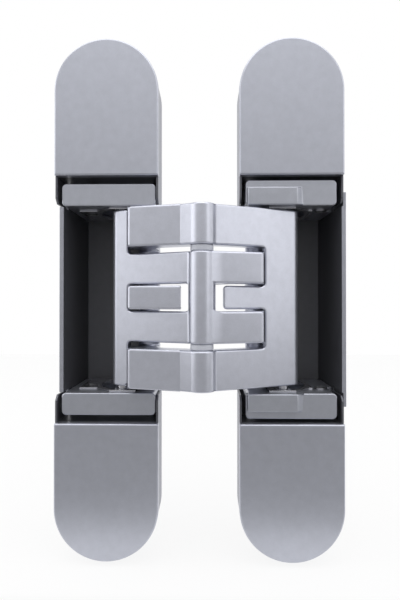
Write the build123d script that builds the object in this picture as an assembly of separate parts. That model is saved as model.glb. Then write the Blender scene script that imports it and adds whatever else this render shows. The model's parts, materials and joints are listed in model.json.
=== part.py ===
from build123d import *
from math import atan2, cos, degrees, hypot, radians, sin
import os

# Concealed door hinge, open flat at 180 degrees. X runs across both leaves, Y into the timber
# and Z up. The jamb leaf is on the left and the door leaf on the right. Two crossed arms join
# them: each turns on a pin in one leaf and slides along a curved track in the other.
# Sizes are in millimetres. The part is modelled about the centre pin's plane and is moved to
# its origin, the middle of the jamb leaf's screw pattern, when it is written.

os.makedirs("parts", exist_ok=True)

# Leaves
leaf_height = 160.0
leaf_rim = 4.594         # between the jamb tracks and the leaf's outer side
open_gap = 24.8          # between the leaves with the door fully open
closed_gap = 4.0         # between the leaves with the door shut
side_set = 1.0           # how far the side adjusters carry the works to the right
jamb_block_set = 0.5     # the same for the fronts of the pivot blocks
door_block_set = 0.0
cover_thickness = 3.0
cover_wall = 1.4
cover_chamfer = 0.35
peg_radius = 1.5
peg_length = 5.0
peg_clearance = 0.15
peg_from_screws = 5.0    # a cover's two pegs stand on the leaf's middle line

# End frames, which are screwed to the timber
frame_back = 13.5
frame_setback = 0.1      # inside the cover's outline, on every side
lug_length = 8.4
lug_thickness = 0.65
lug_front = 1.2
lug_chamfer = 1.6
screw_spacing_x = 15.0
screw_from_adjusters = 12.0
screw_hole_radius = 2.6
screw_sink_radius = 5.0

# Channel, the deep pocket that the arms fold into
channel_wall = 1.3
channel_inset = 3.7      # inner wall from the leaf's inner edge
wall_play = 0.3          # between the inner wall and the block's rear
channel_front = 2.5
channel_room = 10.6      # behind the sliding pin's deepest place, for the arm's end
channel_lap = 0.2        # behind the end frames
step_gap = 0.5           # between an end frame's back and the widened pocket
lug_gap = 0.8
channel_cut = 17.0       # depth of the inner wall's front edge, which the arms pass over
edge_round = 0.5

# Pivot blocks, which carry the pins and the tracks
jamb_block_play = 0.65   # room beside a block for the side adjustment
door_block_play = 1.2
block_front = 1.8
block_back_rim = 1.4     # behind the track
block_room = 9.1         # from the block's face to the cover's inner edge
jamb_block_height = 6.9
door_block_height = 7.9
block_corner = 1.4
block_edge = 0.45
block_overlap = 1.0      # of a block's front on its rear
hub_reach = 4.0          # of the thick part round the pivot pin
tongue_width = 20.0
tongue_thickness = 4.0
tongue_rise = 12.0       # above the channel's end wall
tongue_clearance = 0.3
pad_setback = 0.5        # from the block's inner side
pad_width = 15.2
pad_height = 5.5
pad_thickness = 1.5
pad_slope = 1.8
pad_round = 0.6

# Adjusters under the covers
adjuster_from_window = 6.0
adjuster_side = 9.5
clamp_radius = 2.5
clamp_head_radius = 4.2
clamp_head_height = 2.8
clamp_slot_play = 1.5
clamp_head_play = 0.2
head_sink = 0.2          # clamp screw's head below the frame's face
adjuster_sink = 1.0
depth_screw_radius = 2.5
eccentric_radius = 3.5
eccentric_offset = 1.0
eccentric_nose_radius = 1.5
eccentric_nose_length = 3.0
socket_flats = 3.0
socket_depth = 2.2

# Linkage: the centre pin C, a fixed pivot D and a sliding pin Q in each leaf
knuckle_depth = 5.6      # centre pin in front of the leaves
shut_reach = 25.8        # centre pin from a leaf's inner edge with the door shut
pivot_depth = 12.5
short_slide_inset = 13.1
long_slide_inset = 13.3
slide_depth = 7.4
arm_half_height = 27.4
arm_lift = 0.5           # the arms hang this much above the leaves' middle
arm_play = 1.0           # between the arms' top and the upper blocks
knuckle_half = 13.5      # half height of the short arm's knuckle
knuckle_gap = 1.9        # between the short arm's knuckle and the long arm's
tab_half = 3.5
tab_play = 0.6
tab_gap = 2.3            # between a tab's end and the short arm's knuckle
long_knuckle_radius = 4.1
short_knuckle_radius = 4.0
boss_radius = 3.5
plate_front = 1.0        # plate's face in front of the centre pin's axis, beside the knuckle
plate_slope = 0.45
finger_front = 1.4       # finger's face in front of that axis, at its crease
finger_slope = 0.283
finger_rise = 2.3        # from the crease to the knuckle
finger_root = 0.3        # extra thickness of a finger at the knuckle
arm_thickness = 5.0
crease_reach = 6.4       # where the finger's face bends, from the centre pin
finger_heel = 5.5        # finger's end stops this far in front of its pivot
elbow = 2.0
spine_back = 3.6         # behind the sliding pin's axis
spine_web = 4.8
spine_waist = 7.7
long_spine_inside = 6.5  # from the sliding pin to the spine's face that looks at the fingers
long_spine_outside = 4.5
short_spine_inside = 2.55
short_spine_outside = 2.7
long_finger_gap = 0.35   # between the long arm's fingers and the short arm's spine
short_finger_gap = 0.6
spine_round = 2.6
spine_back_round = 1.8
finger_round = 1.4

# Pins, rings and washers
centre_pin_radius = 2.5
centre_washer_radius = 3.4
pivot_pin_radius = 2.0
slide_pin_radius = 1.6
roller_radius = 2.5
running_clearance = 0.05
track_clearance = 0.15
pin_engagement = 5.8     # pivot pin's length inside each block
roller_length = 3.6
pin_end_play = 0.2
pin_recess = 0.4         # centre pin's ends inside the long arm's faces
thrust_washer_radius = 3.0
ring_clearance = 0.05

# Tracks, the steel plates let into the blocks round the slots
track_thickness = 1.2
track_proud = 0.5
track_margin = 0.35      # from the outline of a thrust washer
jamb_track_rim = 5.7     # beyond the slot, away from the leaf's inner edge
door_track_rim = 1.2
track_front_rim = 0.75
track_back_rim = 0.6
track_corner_rim = 1.7   # the plate's outer front corner is cut away along the slot
track_corner = 5.0
slot_depth = 4.4
block_screw_radius = 1.5
block_screw_head_radius = 2.0
block_screw_head_height = 1.6
block_screw_web = 0.6
screw_from_track_end = 2.8
jamb_screw_depth = 14.0
door_screw_depth = 10.0

edge = open_gap / 2
frame_front = cover_thickness
block_face = arm_half_height + arm_lift + arm_play
half_window = block_face + block_room
adjuster_height = half_window + adjuster_from_window
screw_height = adjuster_height + screw_from_adjusters
peg_heights = (screw_height - peg_from_screws, screw_height + peg_from_screws)
channel_step = frame_back + step_gap
long_slide_x = edge + long_slide_inset
short_slide_x = edge + short_slide_inset
long_spine_end = long_slide_x + long_spine_outside
short_spine_end = short_slide_x + short_spine_outside
long_spine_start = long_slide_x - long_spine_inside
short_spine_start = short_slide_x - short_spine_inside
long_finger_reach = short_spine_start - long_finger_gap
short_finger_reach = long_spine_start - short_finger_gap
slot_radius = roller_radius + track_clearance


# Linkage geometry, worked out for the jamb side and mirrored for the door side

def turned(x, y, angle):
    a = radians(angle)
    return x * cos(a) - y * sin(a), x * sin(a) + y * cos(a)


def pivot_inset():
    # the pivot that the centre pin is equally far from, door open and door shut
    rise_shut = pivot_depth + closed_gap / 2
    rise_open = pivot_depth + knuckle_depth
    spread = shut_reach ** 2 - edge ** 2 + rise_shut ** 2 - rise_open ** 2
    return spread / (2 * (shut_reach + edge))


pivot_x = edge + pivot_inset()


def pivot_turn():
    # how far an arm turns about its own pivot, door open to door shut
    shut = atan2(-pivot_depth - closed_gap / 2, pivot_inset() - shut_reach)
    opened = atan2(-pivot_depth - knuckle_depth, pivot_x)
    return degrees(shut - opened)


def slide_point(inset, share):
    # the sliding pin's place in its leaf, as distance from the inner edge and depth
    near_turn = pivot_turn() * share
    far_turn = (-180 - pivot_turn()) * share
    cx, cy = turned(pivot_x, -knuckle_depth - pivot_depth, near_turn)
    qx, qy = turned(-edge - inset, slide_depth + knuckle_depth, far_turn)
    return -edge - (cx - pivot_x + qx), cy + pivot_depth + qy


def slide_path(inset, steps=12):
    return [slide_point(inset, i / steps) for i in range(steps + 1)]


slide_deepest = max(v for u, v in slide_path(long_slide_inset) + slide_path(short_slide_inset))
channel_depth = slide_deepest + channel_room
track_back = slide_deepest + slot_radius + track_back_rim
block_depth = track_back + block_back_rim


def track_end(inset, rim):
    # from the leaf's inner edge
    return max(u for u, v in slide_path(inset)) + slot_radius + rim


leaf_width = track_end(short_slide_inset, jamb_track_rim) + leaf_rim
leaf_centre = edge + leaf_width / 2
lug_face = leaf_width / 2 - frame_setback - lug_thickness


def slot_outline(side, inset):
    # the area that a roller with its play sweeps along the slide path
    path = slide_path(inset)
    left, right = [], []
    for i, (u, v) in enumerate(path):
        a, b = path[max(i - 1, 0)], path[min(i + 1, len(path) - 1)]
        length = hypot(b[0] - a[0], b[1] - a[1]) / slot_radius
        nu, nv = -(b[1] - a[1]) / length, (b[0] - a[0]) / length
        left.append((side * (edge + u + nu), v + nv))
        right.append((side * (edge + u - nu), v - nv))
        if i == 0:
            tail = (side * (edge + u - nv), v + nu)
        tip = (side * (edge + u + nv), v - nu)
    edges = [
        Spline(*left),
        ThreePointArc(left[-1], tip, right[-1]),
        Spline(*reversed(right)),
        ThreePointArc(right[0], tail, left[0]),
    ]
    return make_face(Wire(edges))


# Shared forms

def prism(face, low, high):
    return Pos(0, 0, low) * extrude(face, amount=high - low, dir=(0, 0, 1))


def upright(face, front, back):
    # a face drawn with its Y as height, made solid from front to back
    return Rot(90, 0, 0) * prism(face, -back, -front)


def disc(x, y, radius, low, high):
    return Pos(x, y, (low + high) / 2) * Cylinder(radius, high - low)


def ring(x, y, outer, inner, low, high):
    return disc(x, y, outer, low, high) - disc(x, y, inner, low, high)


def bored(x, z, radius, front, back):
    # a round hole or pin that runs from front to back
    return Pos(x, (front + back) / 2, z) * Rot(90, 0, 0) * Cylinder(radius, back - front)


def cuboid(x0, x1, y0, y1, z0, z1):
    size = (abs(x1 - x0), abs(y1 - y0), abs(z1 - z0))
    return Pos((x0 + x1) / 2, (y0 + y1) / 2, (z0 + z1) / 2) * Box(*size)


def leaf_end(inset, low):
    # the half-round end of a leaf above a height, drawn about the leaf's centre
    outline = SlotOverall(leaf_height - 2 * inset, leaf_width - 2 * inset, rotation=90)
    return outline & (Pos(0, low + leaf_height / 2) * Rectangle(leaf_width, leaf_height))


def hex_socket(x, z, front):
    face = Pos(x, z) * RegularPolygon(socket_flats / 2, 6, major_radius=False)
    return upright(face, front, front + socket_depth)


def rounded_outline(side, corners):
    # a closed outline from (x, y, corner radius) rows, on one side of the centre pin
    points = [(side * x, y) for x, y, radius in corners]
    radii = [radius for x, y, radius in corners]
    return make_face(Wire(FilletPolyline(*points, radius=radii, close=True).edges()))


# Pieces of a leaf, made for the top end about the leaf's own centre

def cover():
    body = upright(leaf_end(0, half_window), 0, cover_thickness)
    rim = body.faces().sort_by(Axis.Y)[0].edges()
    body = chamfer(rim, cover_chamfer)
    hollow = leaf_end(cover_wall, half_window + cover_wall)
    body -= upright(hollow, cover_wall, cover_thickness)
    for z in peg_heights:
        body += bored(0, z, peg_radius, cover_wall, cover_thickness + peg_length)
    return body


def lug(side):
    outer = lug_face + lug_thickness
    low = half_window - lug_length
    body = cuboid(side * lug_face, side * outer, lug_front, frame_back, low, half_window)
    corner = body.edges().filter_by(Axis.X).sort_by(Axis.Z)[:2].sort_by(Axis.Y)[0]
    return chamfer(corner, lug_chamfer)


def end_frame():
    body = upright(leaf_end(frame_setback, half_window), frame_front, frame_back)
    body += lug(-1) + lug(1)
    for x in (-screw_spacing_x / 2, screw_spacing_x / 2):
        body -= bored(x, screw_height, screw_hole_radius, frame_front, frame_back)
        sink = screw_sink_radius - screw_hole_radius
        cone = Cone(screw_hole_radius, screw_sink_radius, sink)
        body -= Pos(x, frame_front + sink / 2, screw_height) * Rot(90, 0, 0) * cone
    for z in peg_heights:
        depth = peg_length + peg_clearance
        body -= bored(0, z, peg_radius + peg_clearance, frame_front, frame_front + depth)
    z = adjuster_height
    body -= clamp_slot(clamp_radius, frame_back)
    body -= clamp_slot(clamp_head_radius, frame_front + clamp_head_height)
    body -= bored(-adjuster_side, z, depth_screw_radius, frame_front, frame_back)
    body -= bored(adjuster_side, z, eccentric_radius + running_clearance, frame_front, frame_back)
    return body


def clamp_slot(radius, back):
    # long enough for the side adjustment
    slot = SlotOverall(2 * (radius + clamp_slot_play), 2 * (radius + clamp_head_play))
    return upright(Pos(0, adjuster_height) * slot, frame_front, back)


def channel(side):
    # about the leaf's centre; the inner wall is the one towards the other leaf
    outer = side * leaf_width / 2
    inner = side * (channel_inset - leaf_width / 2)
    wall = side * channel_wall
    deep = half_window + channel_lap
    step = half_window - lug_length - lug_gap
    body = cuboid(inner, outer, channel_front, channel_depth, -deep, deep)
    body -= cuboid(inner + wall, outer - wall, channel_front, channel_depth - channel_wall,
                   channel_wall - deep, deep - channel_wall)
    body -= cuboid(inner, inner + wall, channel_front, channel_cut, -deep, deep)
    for end in (-1, 1):
        high = end * (deep + channel_wall)
        body -= cuboid(inner, outer, 0, channel_step, end * step, high)
        notch = tongue_width / 2 + tongue_clearance
        back = frame_back + tongue_thickness + tongue_clearance
        body -= cuboid(-notch, notch, 0, back, end * (deep - 2 * channel_wall), high)
    corners = body.edges().filter_by(Axis.Z).filter_by(
        lambda e: e.center().Y > channel_depth - 0.01)
    return fillet(corners, edge_round)


def pad(side, inner):
    # the raised part of the door blocks' front, beside the arms, with one sloping side
    front, back = block_front - pad_thickness, block_front + block_overlap
    start = inner + pad_setback
    end = start + pad_width
    corners = [
        (start, back, 0),
        (start, front, pad_round),
        (end, front, pad_round),
        (end + pad_slope, block_front, 0),
        (end + pad_slope, back, 0),
    ]
    raised = prism(rounded_outline(side, corners), block_face, block_face + pad_height)
    return fillet(raised.faces().sort_by(Axis.Z)[-1].edges().filter_by(
        lambda e: e.center().Y < block_front), block_edge)


def block(side, play, set_right, height, slide_inset, rim, screw, padded):
    # about the leaf's centre, for the top end; its front stands where the adjusters put it
    wall = half_window + channel_lap - channel_wall
    low, high = play - lug_face, lug_face - play
    shift = set_right - side_set
    front = cuboid(low + shift, high + shift, block_front, channel_step - wall_play,
                   block_face, block_face + height)
    front = fillet(front.edges().filter_by(Axis.Y), block_corner)
    front = fillet(front.faces().sort_by(Axis.Y)[0].edges(), block_edge)
    inner = side * (channel_inset + channel_wall + wall_play - leaf_width / 2)
    outer = side * (leaf_width / 2 - channel_wall - wall_play)
    deep = (frame_back + channel_step - wall_play) / 2
    body = front + cuboid(inner, outer, deep, block_depth, block_face, wall)
    inner = side * low + shift
    hub = side * (pivot_inset() + hub_reach - leaf_width / 2)
    body += cuboid(inner, hub, deep, channel_step + block_overlap, block_face, block_face + height)
    reach = tongue_width / 2
    rise = half_window + channel_lap + tongue_rise
    back = frame_back + tongue_thickness
    body += cuboid(-reach, reach, frame_back, back, block_face + height / 2, rise)
    if padded:
        body += pad(side, side * inner)
    to_leaf = Pos(-side * leaf_centre, 0, 0)
    hole = block_face + pin_engagement + pin_end_play
    body -= to_leaf * disc(side * pivot_x, pivot_depth, pivot_pin_radius, 0, hole)
    slot = prism(slot_outline(side, slide_inset), block_face - track_proud, block_face + slot_depth)
    body -= to_leaf * slot
    body -= to_leaf * track_blank(side, slide_inset, rim)
    x, y = screw
    body -= to_leaf * disc(side * x, y, block_screw_radius, block_face, wall)
    head = block_face + block_screw_head_height
    body -= to_leaf * disc(side * x, y, block_screw_head_radius, block_face, head)
    body -= bored(0, adjuster_height, clamp_radius, frame_back, back)
    nose = eccentric_nose_radius + running_clearance
    x = adjuster_side - side_set + eccentric_offset
    return body - bored(x, adjuster_height, nose, frame_back, back)


def track_blank(side, slide_inset, rim):
    # its outer front corner is cut away behind the lip
    start = edge + pivot_inset() + thrust_washer_radius + track_margin
    end = edge + track_end(slide_inset, rim)
    front = slide_depth - slot_radius - track_front_rim
    slant = max(u - v for u, v in slide_path(slide_inset))
    lip = edge + front + slant + (slot_radius + track_corner_rim) * 2 ** 0.5
    corner = min(track_corner, 0.9 * (end - lip))
    points = [
        (start, front),
        (lip, front),
        (lip + corner, front + corner),
        (end, front + corner),
        (end, track_back),
        (start, track_back),
    ]
    face = make_face(Polyline(*[(side * x, y) for x, y in points], close=True))
    low = block_face - track_proud
    return prism(face, low, low + track_thickness)


def track(side, slide_inset, rim, screw):
    low, high = block_face - track_proud, block_face + track_thickness
    body = track_blank(side, slide_inset, rim) - prism(slot_outline(side, slide_inset), low, high)
    x, y = screw
    return body - disc(side * x, y, block_screw_head_radius + ring_clearance, low, high)


def block_screw():
    low, seat = block_face - track_proud, block_face + block_screw_head_height
    head = disc(0, 0, block_screw_head_radius, low, seat)
    face = RegularPolygon(socket_flats / 2, 6, major_radius=False)
    head -= prism(face, low, seat - block_screw_web)
    end = half_window + channel_lap - channel_wall
    return head + disc(0, 0, block_screw_radius, seat, end)


def clamp_screw():
    front, seat = frame_front + head_sink, frame_front + clamp_head_height
    body = bored(0, adjuster_height, clamp_head_radius, front, seat)
    body += bored(0, adjuster_height, clamp_radius, seat, frame_back + tongue_thickness)
    return body - hex_socket(0, adjuster_height, front)


def depth_screw():
    front = frame_front + adjuster_sink
    body = bored(-adjuster_side, adjuster_height, depth_screw_radius, front, frame_back)
    return body - hex_socket(-adjuster_side, adjuster_height, front)


def side_eccentric():
    front = frame_front + adjuster_sink
    body = bored(adjuster_side, adjuster_height, eccentric_radius, front, frame_back)
    body -= hex_socket(adjuster_side, adjuster_height, front)
    nose = adjuster_side + eccentric_offset
    back = frame_back + eccentric_nose_length
    return body + bored(nose, adjuster_height, eccentric_nose_radius, frame_back, back)


# The arms, drawn from above and extruded layer by layer

def plate_line(x):
    # depth of the plate's outer face at a distance from the centre pin
    return plate_slope * (x - long_knuckle_radius) - knuckle_depth - plate_front


def finger_line(x):
    return finger_slope * (x - crease_reach) - knuckle_depth - finger_front


def plate_profile(side, start, end):
    # the arm from a start near the centre pin to the sliding pin's spine
    across = arm_thickness / cos(atan2(plate_slope, 1))
    back = slide_depth + spine_back
    web, waist = end - spine_web, end - spine_waist
    corners = [
        (start, plate_line(start), 0),
        (end, plate_line(end), spine_round),
        (end, back, spine_back_round),
    ]
    if waist > start:
        corners += [
            (web, back, 0),
            (waist, plate_line(waist) + across, 0),
            (start, plate_line(start) + across, 0),
        ]
    else:
        corners += [(max(web, start), back, 0), (start, plate_line(start) + across, 0)]
    return rounded_outline(side, corners)


def finger_profile(side, reach, start):
    # the arm from a start near the centre pin, over its elbow, down to the fixed pivot
    inside = pivot_x - boss_radius
    tip = finger_line(reach)
    bend = max(start, crease_reach)
    root = finger_line(bend)
    corners = [
        (reach, tip, finger_round),
        (reach, pivot_depth - finger_heel, 0),
        (pivot_x + 0.8 * boss_radius, pivot_depth - 0.6 * boss_radius, 0),
        (pivot_x, pivot_depth, 0),
        (inside, pivot_depth, 0),
        (inside, tip + arm_thickness + elbow, 0),
        (inside - elbow, tip + arm_thickness, 0),
    ]
    if start < bend:
        rise = finger_rise * (bend - start) / bend
        corners.append((start, root + arm_thickness + finger_root, 0))
        corners.append((start, root - rise, 0))
        corners.append((bend, root, 0))
    else:
        corners.append((start, root + arm_thickness + finger_root / 2, 0))
        corners.append((start, root, 0))
    return rounded_outline(side, corners)


def arm_layer(side, knuckle, finger_reach, spine_end):
    # one full boomerang: plate on one side of the centre pin, finger on the other
    face = plate_profile(side, 0, spine_end)
    face += finger_profile(-side, finger_reach, 0)
    face += Pos(0, -knuckle_depth) * Circle(knuckle)
    return face + boss_face(-side)


def boss_face(side):
    return Pos(side * pivot_x, pivot_depth) * Circle(boss_radius)


def layered(face, *spans):
    solids = [prism(face, low + arm_lift, high + arm_lift) for low, high in spans]
    total = solids[0]
    for solid in solids[1:]:
        total += solid
    return total


def arm_bores(body, side, slide_x, pin_radius):
    # side is where the sliding pin is; the fixed pivot is on the other side
    reach = block_face
    bore = pivot_pin_radius + running_clearance
    body -= disc(0, -knuckle_depth, pin_radius, -reach, reach)
    body -= disc(-side * pivot_x, pivot_depth, bore, -reach, reach)
    return body - disc(side * slide_x, slide_depth, slide_pin_radius, -reach, reach)


def long_arm():
    # pivots in the jamb leaf and slides in the door leaf; its knuckles are the outer two
    top = arm_half_height
    low = knuckle_half + knuckle_gap
    face = arm_layer(1, long_knuckle_radius, long_finger_reach, long_spine_end)
    body = layered(face, (-top, -low), (low, top))
    tab_start = short_knuckle_radius + tab_gap
    tabs = finger_profile(-1, long_finger_reach, tab_start)
    body += layered(tabs, (-tab_half, tab_half))
    tabs = plate_profile(1, tab_start, long_spine_end)
    body += layered(tabs, (-tab_half, tab_half))
    body += layered(plate_profile(1, long_spine_start, long_spine_end), (-top, top))
    body += layered(boss_face(-1), (-top, top))
    return arm_bores(body, 1, long_slide_x, centre_pin_radius)


def short_arm():
    # pivots in the door leaf and slides in the jamb leaf; its knuckle is the middle one
    top = arm_half_height
    low = tab_half + tab_play
    face = arm_layer(-1, short_knuckle_radius, short_finger_reach, short_spine_end)
    body = layered(face, (-knuckle_half, -low), (low, knuckle_half))
    hub = Pos(0, -knuckle_depth) * Circle(short_knuckle_radius)
    body += layered(hub, (-knuckle_half, knuckle_half))
    body += layered(plate_profile(-1, short_spine_start, short_spine_end), (-top, top))
    body += layered(boss_face(1), (-top, top))
    return arm_bores(body, -1, short_slide_x, centre_pin_radius + running_clearance)


def centre_pin():
    reach = arm_half_height - pin_recess
    return disc(0, -knuckle_depth, centre_pin_radius, arm_lift - reach, arm_lift + reach)


def knuckle_washers():
    # one above and one below the short arm's knuckle
    inner = centre_pin_radius + ring_clearance
    gap = ring_clearance
    rings = []
    for low in (-knuckle_half - knuckle_gap, knuckle_half):
        z = low + arm_lift
        rings.append(ring(0, -knuckle_depth, centre_washer_radius, inner, z + gap,
                          z + knuckle_gap - gap))
    return rings


def pivot_pin(side):
    reach = block_face + pin_engagement
    return disc(side * pivot_x, pivot_depth, pivot_pin_radius, -reach, reach)


def thrust_washers(side):
    # they fill the space between the arm's ends and the blocks
    inner = pivot_pin_radius + ring_clearance
    top, gap = arm_half_height, ring_clearance
    spans = ((arm_lift + top + gap, block_face), (-block_face, arm_lift - top - gap))
    return [ring(side * pivot_x, pivot_depth, thrust_washer_radius, inner, *s) for s in spans]


def slide_pin(x):
    reach = block_face + roller_length + pin_end_play
    return disc(x, slide_depth, slide_pin_radius, -reach, reach)


def slide_rollers(x):
    inner = slide_pin_radius + ring_clearance
    low = block_face - track_proud + ring_clearance
    high = block_face + roller_length
    spans = ((low, high), (-high, -low))
    return [ring(x, slide_depth, roller_radius, inner, *s) for s in spans]


def write(name, *shapes):
    home = Pos(leaf_centre + side_set, -frame_back, 0)
    solids = [home * shape for shape in shapes]
    export_step(solids[0] if len(solids) == 1 else Compound(solids), f"parts/{name}.step")


def write_leaf(name, side, play, set_right, height, slide_inset, rim, screw, padded):
    # frames and covers stand where they are screwed; the works are moved by the adjusters
    fixed = Pos(side * leaf_centre - side_set, 0, 0)
    works = Pos(side * leaf_centre, 0, 0)
    flip = Plane.XY
    cap, frame = cover(), end_frame()
    carrier = block(side, play, set_right, height, slide_inset, rim, screw, padded)
    write(f"{name}_cover_top", fixed * cap)
    write(f"{name}_cover_bottom", fixed * mirror(cap, flip))
    write(f"{name}_end_frame_top", fixed * frame)
    write(f"{name}_end_frame_bottom", fixed * mirror(frame, flip))
    write(f"{name}_pivot_block_top", works * carrier)
    write(f"{name}_pivot_block_bottom", works * mirror(carrier, flip))
    write(f"{name}_channel", works * channel(side))
    x, y = screw
    pairs = {
        "clamp_screws": works * clamp_screw(),
        "depth_screws": fixed * depth_screw(),
        "side_eccentrics": fixed * side_eccentric(),
        "tracks": track(side, slide_inset, rim, screw),
        "block_screws": Pos(side * x, y, 0) * block_screw(),
    }
    for piece, solid in pairs.items():
        write(f"{name}_{piece}", solid, mirror(solid, flip))
    write(f"{name}_pivot_pin", pivot_pin(side))
    write(f"{name}_thrust_washers", *thrust_washers(side))


jamb_end = edge + track_end(short_slide_inset, jamb_track_rim)
door_end = edge + track_end(long_slide_inset, door_track_rim)
jamb_screw = (jamb_end - screw_from_track_end, jamb_screw_depth)
door_screw = (door_end + screw_from_track_end, door_screw_depth)
write_leaf("jamb", -1, jamb_block_play, jamb_block_set, jamb_block_height,
           short_slide_inset, jamb_track_rim, jamb_screw, False)
write_leaf("door", 1, door_block_play, door_block_set, door_block_height,
           long_slide_inset, door_track_rim, door_screw, True)
write("long_arm", long_arm())
write("short_arm", short_arm())
write("centre_pin", centre_pin())
write("knuckle_washers", *knuckle_washers())
write("long_slide_pin", slide_pin(long_slide_x))
write("short_slide_pin", slide_pin(-short_slide_x))
write("long_slide_rollers", *slide_rollers(long_slide_x))
write("short_slide_rollers", *slide_rollers(-short_slide_x))
print("pivot inset %.3f, arm turn %.4f, centre turn %.4f" % (
    pivot_inset(), -pivot_turn(), -180 - 2 * pivot_turn()))
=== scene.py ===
import bmesh
import bpy
import json
import math
from mathutils import Matrix, Vector


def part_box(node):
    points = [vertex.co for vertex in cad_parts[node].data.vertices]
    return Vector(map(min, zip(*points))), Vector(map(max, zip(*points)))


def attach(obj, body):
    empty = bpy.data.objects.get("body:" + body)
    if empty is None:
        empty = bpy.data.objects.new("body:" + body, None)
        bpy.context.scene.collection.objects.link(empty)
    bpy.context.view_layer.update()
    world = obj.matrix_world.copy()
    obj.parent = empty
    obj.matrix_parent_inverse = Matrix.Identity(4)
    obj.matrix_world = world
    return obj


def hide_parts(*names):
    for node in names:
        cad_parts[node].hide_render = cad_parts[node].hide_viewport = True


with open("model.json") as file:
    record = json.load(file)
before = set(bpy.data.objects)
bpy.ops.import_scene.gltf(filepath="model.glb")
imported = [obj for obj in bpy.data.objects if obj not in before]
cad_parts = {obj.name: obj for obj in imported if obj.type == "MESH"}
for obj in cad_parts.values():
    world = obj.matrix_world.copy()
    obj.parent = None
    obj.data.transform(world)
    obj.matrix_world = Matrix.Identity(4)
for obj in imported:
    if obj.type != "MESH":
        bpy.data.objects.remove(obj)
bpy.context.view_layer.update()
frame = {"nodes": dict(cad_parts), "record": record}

scene = bpy.context.scene
mm = 0.001
hingeMiddle = 0.0284    # x halfway between the two leaves, in metres
facing = 0.9    # cosine from which a face counts as turned to a side


# Helpers for objects and shader nodes

def addObject(name, data):
    item = bpy.data.objects.new(name, data)
    scene.collection.objects.link(item)
    return item


def meshObject(name, shape):
    mesh = bpy.data.meshes.new(name)
    shape.to_mesh(mesh)
    shape.free()
    return addObject(name, mesh)


def addNode(tree, kind, place, **values):
    node = tree.nodes.new(kind)
    node.location = place
    for name, value in values.items():
        setattr(node, name, value)
    return node


def setInputs(node, values):
    for name, value in values.items():
        node.inputs[name].default_value = value


def mathNode(tree, place, operation, *terms):
    # each term is a number or another node's output
    node = addNode(tree, "ShaderNodeMath", place, operation=operation)
    for socket, term in zip(node.inputs, terms):
        if isinstance(term, bpy.types.NodeSocket):
            tree.links.new(term, socket)
        else:
            socket.default_value = term
    return node.outputs[0]


def rangeNode(tree, place, source, levels, **values):
    # turns "from" and "to" of the source into "low" and "high"
    node = addNode(tree, "ShaderNodeMapRange", place, **values)
    tree.links.new(source, node.inputs["Value"])
    setInputs(node, {
        "From Min": levels["from"], "From Max": levels["to"],
        "To Min": levels["low"], "To Max": levels["high"]})
    return node.outputs["Result"]


# Lacquer that every piece shares. Scales are noise cells per metre, rows only lay out the nodes
lacquerNoise = {
    "flake": {"scale": 5200.0, "detail": 1.0, "row": 260},
    "mottle": {"scale": 420.0, "detail": 3.0, "row": 0},
    "cloud": {"scale": 60.0, "detail": 2.0, "row": -260},
}
lacquerLook = {"contrast": 3.0, "roughSpread": 0.06, "peel": 0.05 * mm}
lacquerSockets = (
    ("Vector", "INPUT", "Vector"), ("Base", "INPUT", "Color"),
    ("Roughness", "INPUT", "Float"), ("Grain", "INPUT", "Float"),
    ("Color", "OUTPUT", "Color"), ("Roughness", "OUTPUT", "Float"),
    ("Height", "OUTPUT", "Float"),
)


def lacquerGroup():
    # fine metallic lacquer: flake speckle, soft clouding and a light orange peel
    group = bpy.data.node_groups.new("metallicLacquer", "ShaderNodeTree")
    for name, side, kind in lacquerSockets:
        group.interface.new_socket(name, in_out=side, socket_type="NodeSocket" + kind)
    link = group.links.new
    entry = addNode(group, "NodeGroupInput", (-900, 0))
    leave = addNode(group, "NodeGroupOutput", (600, 0))
    noise = {}
    for name, look in lacquerNoise.items():
        node = addNode(group, "ShaderNodeTexNoise", (-680, look["row"]))
        setInputs(node, {"Scale": look["scale"], "Detail": look["detail"]})
        link(entry.outputs["Vector"], node.inputs["Vector"])
        noise[name] = node.outputs["Fac"]
    speckle = mathNode(group, (-440, 160), "ADD", noise["flake"], noise["mottle"])
    centred = mathNode(group, (-260, 160), "SUBTRACT", speckle, 1.0)
    scaled = mathNode(group, (-80, 160), "MULTIPLY", centred, entry.outputs["Grain"])
    value = mathNode(group, (80, 160), "MULTIPLY_ADD", scaled, lacquerLook["contrast"], 1.0)
    tint = addNode(group, "ShaderNodeHueSaturation", (260, 120))
    link(entry.outputs["Base"], tint.inputs["Color"])
    link(value, tint.inputs["Value"])
    link(tint.outputs["Color"], leave.inputs["Color"])
    spread = lacquerLook["roughSpread"]
    clouded = mathNode(
        group, (80, -120), "MULTIPLY_ADD", noise["cloud"], spread, entry.outputs["Roughness"])
    link(mathNode(group, (260, -120), "SUBTRACT", clouded, spread / 2), leave.inputs["Roughness"])
    link(noise["mottle"], leave.inputs["Height"])
    return group


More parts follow.
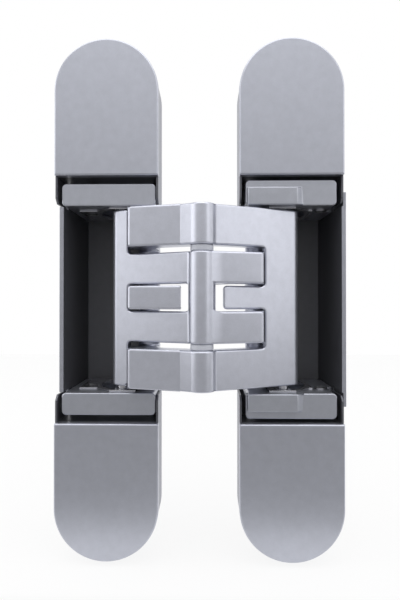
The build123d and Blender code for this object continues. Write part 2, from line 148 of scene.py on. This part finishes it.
# Finishes, with linear colours
finishes = {
    "cover": {
        "base": (0.51, 0.525, 0.59), "metal": 0.85, "rough": 0.33, "grain": 0.05, "bump": 0.10},
    "arm": {
        "base": (0.595, 0.61, 0.685), "metal": 0.85, "rough": 0.32, "grain": 0.06, "bump": 0.12},
    "block": {
        "base": (0.465, 0.48, 0.535), "metal": 0.8, "rough": 0.34, "grain": 0.06, "bump": 0.12},
    "frame": {
        "base": (0.34, 0.35, 0.40), "metal": 0.7, "rough": 0.42, "grain": 0.07, "bump": 0.14},
    # the frame's own casting, darkened as painted shade for its lugs
    "lug": {
        "base": (0.13, 0.133, 0.15), "metal": 0.7, "rough": 0.40, "grain": 0.08, "bump": 0.2},
    "channel": {
        "base": (0.40, 0.41, 0.46), "metal": 0.7, "rough": 0.44, "grain": 0.07, "bump": 0.14},
    "pin": {
        "base": (0.58, 0.58, 0.61), "metal": 0.95, "rough": 0.22, "grain": 0.03, "bump": 0.04},
    "screw": {
        "base": (0.40, 0.40, 0.42), "metal": 0.95, "rough": 0.32, "grain": 0.04, "bump": 0.06},
    "washer": {
        "base": (0.60, 0.615, 0.68), "metal": 0.0, "rough": 0.38, "grain": 0.03, "bump": 0.05},
}
# painted shade for the channel's pocket, its back wall and the plates beside it, standing in for
# the shade that falls there
shadePaints = {
    "pocket": {
        "base": (0.065, 0.066, 0.075), "metal": 0.0, "rough": 0.42, "grain": 0.05, "bump": 0.2},
    "pocketBack": {
        "base": (0.19, 0.193, 0.215), "metal": 0.0, "rough": 0.42, "grain": 0.05, "bump": 0.2},
}


def makeMaterial(name, finish):
    material = bpy.data.materials.new(name)
    material.use_nodes = True
    tree = material.node_tree
    link = tree.links.new
    shader = tree.nodes["Principled BSDF"]
    place = addNode(tree, "ShaderNodeTexCoord", (-900, 0))
    group = addNode(tree, "ShaderNodeGroup", (-500, 0), node_tree=lacquer)
    link(place.outputs["Object"], group.inputs["Vector"])
    setInputs(group, {
        "Base": (*finish["base"], 1), "Roughness": finish["rough"], "Grain": finish["grain"]})
    bump = addNode(tree, "ShaderNodeBump", (-240, -260))
    setInputs(bump, {"Strength": finish["bump"], "Distance": lacquerLook["peel"]})
    link(group.outputs["Height"], bump.inputs["Height"])
    link(group.outputs["Color"], shader.inputs["Base Color"])
    link(group.outputs["Roughness"], shader.inputs["Roughness"])
    link(bump.outputs["Normal"], shader.inputs["Normal"])
    shader.inputs["Metallic"].default_value = finish["metal"]
    return material


lacquer = lacquerGroup()
materials = {name: makeMaterial(name + "Lacquer", finish) for name, finish in finishes.items()}
for name, paint in shadePaints.items():
    materials[name] = makeMaterial(name + "Paint", paint)
print("materials made:", len(materials))


# Every CAD piece gets a copy with its edges rounded as the cast or turned piece has them.
# By the end of the node's name: the finish, and the width of the rounded rims in mm
pieceFinish = {
    "cover_top": ("cover", 0.22), "cover_bottom": ("cover", 0.22),
    "end_frame_top": ("frame", 0.18), "end_frame_bottom": ("frame", 0.18),
    "pivot_block_top": ("block", 0.4), "pivot_block_bottom": ("block", 0.4),
    "channel": ("channel", 0.16), "long_arm": ("arm", 0.65), "short_arm": ("arm", 0.65),
    "clamp_screws": ("screw", 0.2), "depth_screws": ("screw", 0.2),
    "side_eccentrics": ("screw", 0.2), "block_screws": ("screw", 0.15), "tracks": ("pin", 0.15),
    "pivot_pin": ("pin", 0.2), "centre_pin": ("pin", 0.3), "slide_pin": ("pin", 0.2),
    "thrust_washers": ("washer", 0.15), "knuckle_washers": ("washer", 0.3),
    "slide_rollers": ("washer", 0.15),
}
rounding = {
    "merge": 0.002 * mm, "flat": 0.6,    # corners and nearly flat edges, in degrees, that go first
    "crisp": 35, "segments": 3,    # edges over these degrees are rounded
    "sharp": 38,    # and what is left over these degrees is shaded as an edge
    "open": ("arm", "block"),    # cast pieces, whose rims are rounded past their short arc edges
    "rear": -1.0 * mm,    # y that parts their front from their rear, each with its shortest rim
    "shortest": 0.06 * mm, "rearShortest": 0.3 * mm,
}


def finishOf(node):
    return next(made for ending, made in pieceFinish.items() if node.endswith(ending))


def bevelEdges(shape, edges, width, clamp):
    bmesh.ops.bevel(
        shape, geom=edges, offset=width, offset_type="OFFSET", segments=rounding["segments"],
        profile=0.5, affect="EDGES", clamp_overlap=clamp, material=-1)


fingerCorners = {
    "round": 1.0 * mm,
    "length": 1.5 * mm, "back": -1.0 * mm,    # at least this long, and in front of this y
    "level": 0.01 * mm, "slope": 0.6,    # they lie level and run mostly along y
    "offSquare": 20,    # degrees
}


def roundFingerCorners(shape):
    # the corners of the fingers and notches, seen from the front, have a larger round than the rims
    corners = []
    for edge in shape.edges:
        first, second = (corner.co for corner in edge.verts)
        way = second - first
        if way.length < fingerCorners["length"] or len(edge.link_faces) != 2:
            continue
        level = abs(way.z) < fingerCorners["level"]
        deep = abs(way.y) > fingerCorners["slope"] * way.length
        lean = abs(edge.calc_face_angle(0) - math.pi / 2)
        square = lean < math.radians(fingerCorners["offSquare"])
        if level and deep and square and max(first.y, second.y) < fingerCorners["back"]:
            corners.append(edge)
    bevelEdges(shape, corners, fingerCorners["round"], False)
    return len(corners)


fingerCrease = {
    "node": "long_arm", "x": 23.0 * mm, "front": -18.0 * mm, "sink": 0.5 * mm,
    "cut": 0.001 * mm, "beside": 0.15 * mm, "along": 0.05 * mm,    # how near counts as on it
}


def onCrease(place, near):
    return abs(place.x - fingerCrease["x"]) < near and place.y < fingerCrease["front"]


def creaseFingers(shape):
    # the left fingers lie flatter up to a crease, from where they rise steeply to the knuckle
    bmesh.ops.bisect_plane(
        shape, geom=shape.verts[:] + shape.edges[:] + shape.faces[:], dist=fingerCrease["cut"],
        plane_co=(fingerCrease["x"], 0, 0), plane_no=(1, 0, 0))
    corners = [corner for corner in shape.verts if onCrease(corner.co, fingerCrease["beside"])]
    bmesh.ops.translate(shape, vec=(0, fingerCrease["sink"], 0), verts=corners)
    return len(corners)


def sharpenCrease(mesh):
    for edge in mesh.edges:
        if all(onCrease(mesh.vertices[i].co, fingerCrease["along"]) for i in edge.vertices):
            edge.use_edge_sharp = True


def shortestRim(edge):
    front = max(corner.co.y for corner in edge.verts) < rounding["rear"]
    return rounding["shortest"] if front else rounding["rearShortest"]


def crispEdges(shape, openRims):
    return [edge for edge in shape.edges if len(edge.link_faces) == 2
            and edge.calc_face_angle(0) > math.radians(rounding["crisp"])
            and (not openRims or edge.calc_length() > shortestRim(edge))]


def keepInBox(shape, node):
    # a rim that runs out past a short edge stays inside the piece's box
    low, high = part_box(node)
    for corner in shape.verts:
        corner.co = [min(max(corner.co[i], low[i]), high[i]) for i in range(3)]


def roundedCopy(node, kind, width):
    shape = bmesh.new()
    shape.from_mesh(frame["nodes"][node].data)
    bmesh.ops.remove_doubles(shape, verts=shape.verts, dist=rounding["merge"])
    bmesh.ops.dissolve_limit(
        shape, angle_limit=math.radians(rounding["flat"]), verts=shape.verts, edges=shape.edges)
    creased = node == fingerCrease["node"]
    if creased:
        print(node, "crease corners moved:", creaseFingers(shape))
    if kind == "arm":
        print(node, "corners rounded:", roundFingerCorners(shape))
    openRims = kind in rounding["open"]
    bevelEdges(shape, crispEdges(shape, openRims), width * mm, not openRims)
    keepInBox(shape, node)
    bmesh.ops.recalc_face_normals(shape, faces=shape.faces)
    piece = meshObject(node + "Body", shape)
    piece.data.shade_smooth()
    piece.data.set_sharp_from_angle(angle=math.radians(rounding["sharp"]))
    if creased:
        sharpenCrease(piece.data)
    weighted = piece.modifiers.new("evenShading", "WEIGHTED_NORMAL")
    weighted.keep_sharp = True
    return piece


pocketLining = {"wall": 0.9 * mm, "lip": 0.25 * mm, "rear": 0.3 * mm}    # edges that stay bare


def paintPocketShade(piece, node):
    # painted shade on the walls inside the pocket, and a paler painted shade on the pocket's back,
    # where more light reaches
    piece.data.materials.append(materials["pocket"])
    piece.data.materials.append(materials["pocketBack"])
    low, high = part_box(node)
    wall = pocketLining["wall"]
    for face in piece.data.polygons:
        centre = face.center
        between = low.x + wall < centre.x < high.x - wall
        deep = low.y + pocketLining["lip"] < centre.y < high.y - pocketLining["rear"]
        if between and deep:
            face.material_index = 2 if face.normal.y < -facing else 1


lugShadeEnd = 38.2 * mm    # from here outward a frame lies under its cover


def paintLugShade(piece):
    # painted shade on the frame's lugs beside the block, where they lie in shade between cover and
    # block
    piece.data.materials.append(materials["lug"])
    for face in piece.data.polygons:
        if abs(face.center.z) < lugShadeEnd:
            face.material_index = 1


bodyOf = {node: body for body, nodes in frame["record"]["behaviour"]["bodies"].items()
          for node in nodes}
for node in sorted(frame["nodes"]):
    kind, width = finishOf(node)
    piece = roundedCopy(node, kind, width)
    piece.data.materials.append(materials[kind])
    if kind == "channel":
        paintPocketShade(piece, node)
    if kind == "frame":
        paintLugShade(piece)
    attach(piece, bodyOf[node])
    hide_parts(node)
print("pieces dressed:", len(frame["nodes"]))


# Thin plates of the leaves, placed in mm for the upper end and repeated at the lower end:
# the pocket's cheeks beside the lugs, and dark plates of painted shade that close the gap between
# lug and block
platePlaces = {
    "jamb_leaf": {
        "cheek": {"x": (-15.0, -14.1), "y": (-4.0, 6.0), "z": (27.8, 33.1), "shadeSheet": False},
        "shadeFiller": {"x": (12.9, 15.8), "y": (0.0, 0.8), "z": (29.6, 40.0), "shadeSheet": True},
    },
    "door_leaf": {
        "cheek": {"x": (72.9, 73.8), "y": (-11.0, 2.0), "z": (27.8, 33.1), "shadeSheet": False},
        "shadeFiller": {"x": (41.0, 44.0), "y": (0.0, 0.8), "z": (29.6, 40.0), "shadeSheet": True},
    },
}
plateEdge = 0.12 * mm


def makePlate(name, body, place, side):
    low = Vector(place[axis][0] for axis in "xyz") * mm
    high = Vector(place[axis][1] for axis in "xyz") * mm
    middle = (low + high) / 2
    middle.z *= side
    shape = bmesh.new()
    bmesh.ops.create_cube(shape, size=1)
    bmesh.ops.scale(shape, vec=high - low, verts=shape.verts)
    bmesh.ops.translate(shape, vec=middle, verts=shape.verts)
    bevelEdges(shape, shape.edges[:], plateEdge, True)
    plate = meshObject(name, shape)
    # a plate that is all painted shade, put in the dark gap between lug and block
    if place["shadeSheet"]:
        plate.data.materials.append(materials["pocket"])
    else:    # bare outside, painted shade on the side of the pocket
        plate.data.materials.append(materials["channel"])
        plate.data.materials.append(materials["pocket"])
        # the face turned to the pocket gets painted shade
        inward = 1 if middle.x < hingeMiddle else -1
        for face in plate.data.polygons:
            if face.normal.x * inward > facing:
                face.material_index = 1
    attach(plate, body)


plateCount = 0
for body, plates in platePlaces.items():
    leaf = body.split("_")[0]
    for plateName, place in plates.items():
        for side, end in ((1, "Top"), (-1, "Bottom")):
            makePlate(leaf + plateName.capitalize() + end, body, place, side)
            plateCount += 1
print("leaf plates made:", plateCount)


# Studio, in metres and degrees. Turn goes round the hinge from the front, lift goes up
target = Vector((hingeMiddle, -0.0135, 0.0))    # what the camera and the lamps point at


def placeAround(item, place):
    turn, lift = math.radians(place["turn"]), math.radians(place["lift"])
    level = math.cos(lift)
    way = Vector((math.sin(turn) * level, -math.cos(turn) * level, math.sin(lift)))
    item.location = target + way * place["reach"]
    item.rotation_euler = (-way).to_track_quat("-Z", "Y").to_euler()


# Camera, with its focal length and offset in pixels of the image
cameraLook = {
    "turn": 0.87, "lift": -0.38, "reach": 0.150, "focal": 492.7, "offset": (1.2, -0.7),
    "imageHeight": 600, "sensorHeight": 24, "clipStart": 0.01,
}


def makeCamera():
    data = bpy.data.cameras.new("camera")
    data.sensor_fit = "VERTICAL"
    data.sensor_height = cameraLook["sensorHeight"]
    data.lens = cameraLook["focal"] / cameraLook["imageHeight"] * data.sensor_height
    data.shift_x = cameraLook["offset"][0] / cameraLook["imageHeight"]
    data.shift_y = cameraLook["offset"][1] / cameraLook["imageHeight"]
    data.clip_start = cameraLook["clipStart"]
    camera = addObject("camera", data)
    placeAround(camera, cameraLook)
    scene.camera = camera


stageLook = {
    "floor": -0.0815, "front": -3.0, "back": 0.6, "wide": 6.0, "tall": 3.0,
    "colour": 0.8, "shadow": 0.12,
    "floorShade": {"from": -0.058, "to": -0.026, "low": 0.40, "high": 1},    # painted shade along y, grey in front to white near the hinge
}


def paleMaterial(name, shadow):
    # white to the camera and to reflections near and behind the hinge, greyed towards the front by
    # painted shade that also darkens its reflections, with a share of the lit paint that keeps the
    # shadow
    material = bpy.data.materials.new(name)
    material.use_nodes = True
    tree = material.node_tree
    tree.nodes.clear()
    link = tree.links.new
    place = addNode(tree, "ShaderNodeTexCoord", (-1300, -100))
    split = addNode(tree, "ShaderNodeSeparateXYZ", (-1100, -100))
    link(place.outputs["Object"], split.inputs[0])
    # the floor's painted shade, grey in front and white near the hinge
    floorShade = rangeNode(
        tree, (-900, -100), split.outputs["Y"], stageLook["floorShade"], interpolation_type="SMOOTHSTEP")
    paint = addNode(tree, "ShaderNodeBsdfDiffuse", (-400, 0))
    link(mathNode(tree, (-650, 0), "MULTIPLY", floorShade, stageLook["colour"]), paint.inputs["Color"])
    white = addNode(tree, "ShaderNodeEmission", (-400, -200))
    link(floorShade, white.inputs["Strength"])
    rays = addNode(tree, "ShaderNodeLightPath", (-1100, 300))
    seen = rays.outputs["Is Camera Ray"]
    for ray in ("Is Glossy Ray", "Is Transmission Ray"):
        seen = mathNode(tree, (-650, 200), "MAXIMUM", seen, rays.outputs[ray])
    last = addNode(tree, "ShaderNodeMixShader", (-100, 0))
    link(mathNode(tree, (-400, 200), "MULTIPLY", seen, 1 - shadow), last.inputs[0])
    link(paint.outputs[0], last.inputs[1])
    link(white.outputs[0], last.inputs[2])
    leave = addNode(tree, "ShaderNodeOutputMaterial", (100, 0))
    link(last.outputs[0], leave.inputs["Surface"])
    return material


def makePane(name, size, place, turn, shadow):
    shape = bmesh.new()
    bmesh.ops.create_grid(shape, x_segments=1, y_segments=1, size=0.5)
    bmesh.ops.scale(shape, vec=(*size, 1), verts=shape.verts)
    upright = Matrix.Rotation(math.radians(turn), 3, "X")
    bmesh.ops.rotate(shape, matrix=upright, verts=shape.verts)
    bmesh.ops.translate(shape, vec=place, verts=shape.verts)
    pane = meshObject(name, shape)
    pane.data.materials.append(paleMaterial(name + "Paint", shadow))


def makeStage():
    floor, front, back, wide, tall = (
        stageLook[name] for name in ("floor", "front", "back", "wide", "tall"))
    floorPlace = (0, (front + back) / 2, floor)
    backdropPlace = (0, back, floor + tall / 2)
    makePane("floor", (wide, back - front), floorPlace, turn=0, shadow=stageLook["shadow"])
    makePane("backdrop", (wide, tall), backdropPlace, turn=90, shadow=0)


lamps = {
    "keyAbove": {"turn": 5, "lift": 52, "reach": 0.75, "size": (0.8, 0.45), "power": 0.35},
    "topBox": {"turn": 0, "lift": 84, "reach": 0.7, "size": (1.0, 0.8), "power": 2.6},
    "sideRight": {"turn": 92, "lift": 8, "reach": 0.7, "size": (0.5, 0.8), "power": 0.5},
    "sideLeft": {"turn": -96, "lift": 8, "reach": 0.7, "size": (0.6, 0.8), "power": 1.2},
    "boxRight": {"turn": 54, "lift": 19, "reach": 0.7, "size": (0.32, 0.65), "power": 0.5},
    "boxLeft": {"turn": -69, "lift": 10, "reach": 0.7, "size": (0.42, 0.75), "power": 0.72},
}


def makeLamps():
    for name, lamp in lamps.items():
        data = bpy.data.lights.new(name, "AREA")
        data.shape = "RECTANGLE"
        data.size, data.size_y = lamp["size"]
        data.energy = lamp["power"]
        placeAround(addObject(name, data), lamp)


worldLevels = {"from": -0.02, "to": 0.55, "low": 0.48, "high": 0.92}


def makeWorld():
    # one plain gradient, darker below than above
    world = bpy.data.worlds.new("studio")
    world.use_nodes = True
    tree = world.node_tree
    link = tree.links.new
    back = tree.nodes["Background"]
    place = addNode(tree, "ShaderNodeTexCoord", (-900, 0))
    split = addNode(tree, "ShaderNodeSeparateXYZ", (-700, 0))
    link(place.outputs["Generated"], split.inputs[0])
    level = rangeNode(tree, (-500, 0), split.outputs["Z"], worldLevels)
    link(level, back.inputs["Strength"])
    back.inputs["Color"].default_value = (1, 1, 1, 1)
    scene.world = world


makeCamera()
makeStage()
makeLamps()
makeWorld()
scene.view_settings.view_transform = "Standard"
print("studio set")
